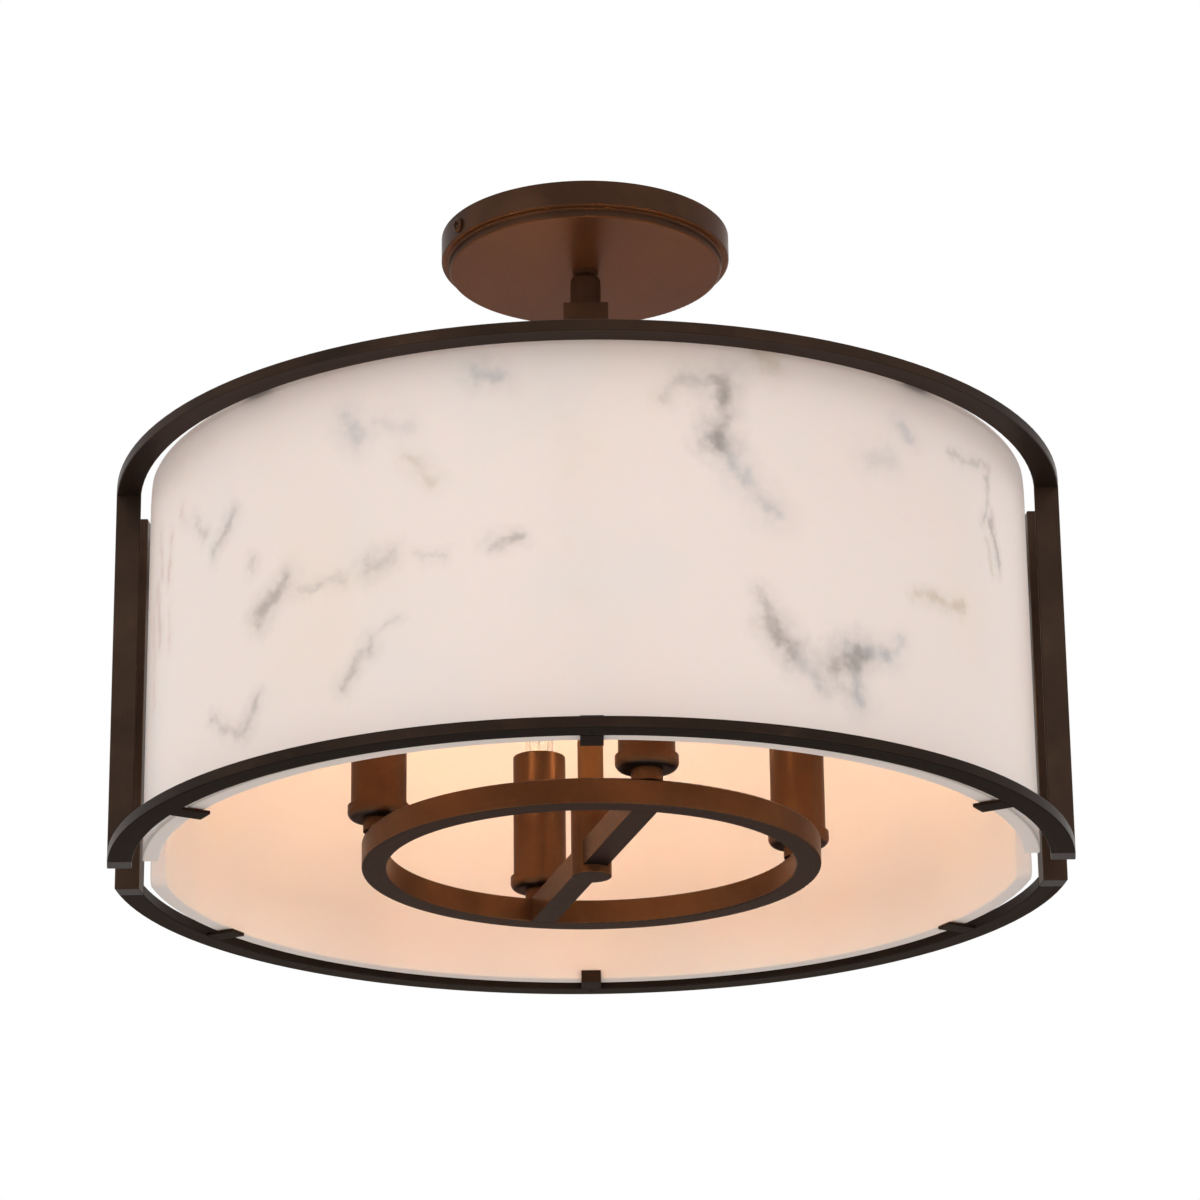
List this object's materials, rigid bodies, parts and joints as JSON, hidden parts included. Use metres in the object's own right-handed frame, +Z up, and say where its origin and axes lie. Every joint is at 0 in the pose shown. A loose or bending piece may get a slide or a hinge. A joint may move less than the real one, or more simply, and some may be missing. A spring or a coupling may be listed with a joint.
{
  "type": "semi flush ceiling light",
  "caption": "Semi flush drum ceiling light: dark bronze ring frame on a short swivel stem, alabaster-look half shades and candle lamps on an inner ring.",
  "frame": {"origin": "centre of the light on the ceiling plane, level with the canopy's rim and the top of the bracket", "axes": "+Z up into the ceiling; -Y towards the viewer of the picture; X runs through the two side gaps of the frame"},
  "size_m": [0.4052, 0.4064, 0.2928],
  "materials": {
    "bracket_steel": "zinc plated",
    "ground_green": "green",
    "bronze": "satin dark bronze",
    "race_nylon": "natural nylon",
    "cast_resin": "satin cast resin with grey veins, in the look of alabaster",
    "wire_jacket": "satin",
    "socket_phenolic": "moulded phenolic",
    "bulb_brass": "bright",
    "bulb_glass": "clear",
    "filament_wire": "glowing wire"
  },
  "bodies": {
    "ceiling_mount": {"box_bar": "bracket_steel", "ear_bar": "bracket_steel", "bar_rivet": "bracket_steel", "ground_screw": "ground_green", "canopy": "bronze", "canopy_screws": "bronze", "ball_stud": "bronze", "stud_washer": "bracket_steel", "stud_nut": "bracket_steel"},
    "turning_race": {"upper_race": "race_nylon"},
    "tilting_race": {"lower_race": "race_nylon"},
    "fixture": {"swivel_housing": "bronze", "swivel_plug": "bronze", "plug_nut": "bracket_steel", "square_stem": "bronze", "hub_block": "bracket_steel", "stem_nut": "bracket_steel", "top_cross": "bronze", "arm_screws": "bronze", "front_top_arc": "bronze", "back_top_arc": "bronze", "front_bottom_arc": "bronze", "back_bottom_arc": "bronze", "front_left_bar": "bronze", "front_right_bar": "bronze", "back_left_bar": "bronze", "back_right_bar": "bronze", "shade_tabs": "bronze", "shade_clips": "bronze", "clip_screws": "bronze", "front_shade": "cast_resin", "back_shade": "cast_resin", "stem_tube": "bronze", "ring_hub": "bronze", "finial": "bronze", "cross_bars": "bronze", "lamp_ring": "bronze", "ring_cover": "bronze", "candle_cups": "bronze", "wires": "wire_jacket", "candle_sleeve_1": "bronze", "socket_1": "socket_phenolic", "candle_sleeve_2": "bronze", "socket_2": "socket_phenolic", "candle_sleeve_3": "bronze", "socket_3": "socket_phenolic", "candle_sleeve_4": "bronze", "socket_4": "socket_phenolic"},
    "bulb_1": {"bulb_base_1": "bulb_brass", "bulb_glass_1": "bulb_glass", "filament_1": "filament_wire"},
    "bulb_2": {"bulb_base_2": "bulb_brass", "bulb_glass_2": "bulb_glass", "filament_2": "filament_wire"},
    "bulb_3": {"bulb_base_3": "bulb_brass", "bulb_glass_3": "bulb_glass", "filament_3": "filament_wire"},
    "bulb_4": {"bulb_base_4": "bulb_brass", "bulb_glass_4": "bulb_glass", "filament_4": "filament_wire"}
  },
  "joints": [
    {"name": "swivel_turn", "type": "hinge", "parent": "ceiling_mount", "child": "turning_race", "pos_m": [0, 0, -0.025], "axis": [0, 0, 1], "range_deg": [-170, 170]},
    {"name": "swivel_tilt_side", "type": "hinge", "parent": "turning_race", "child": "tilting_race", "pos_m": [0, 0, -0.025], "axis": [1, 0, 0], "range_deg": [-5, 5]},
    {"name": "swivel_tilt_front", "type": "hinge", "parent": "tilting_race", "child": "fixture", "pos_m": [0, 0, -0.025], "axis": [0, 1, 0], "range_deg": [-5, 5]},
    {"name": "bulb_1_lift", "type": "slide", "parent": "fixture", "child": "bulb_1", "axis": [0, 0, 1], "range_m": [0, 0.024]},
    {"name": "bulb_2_lift", "type": "slide", "parent": "fixture", "child": "bulb_2", "axis": [0, 0, 1], "range_m": [0, 0.024]},
    {"name": "bulb_3_lift", "type": "slide", "parent": "fixture", "child": "bulb_3", "axis": [0, 0, 1], "range_m": [0, 0.024]},
    {"name": "bulb_4_lift", "type": "slide", "parent": "fixture", "child": "bulb_4", "axis": [0, 0, 1], "range_m": [0, 0.024]}
  ]
}
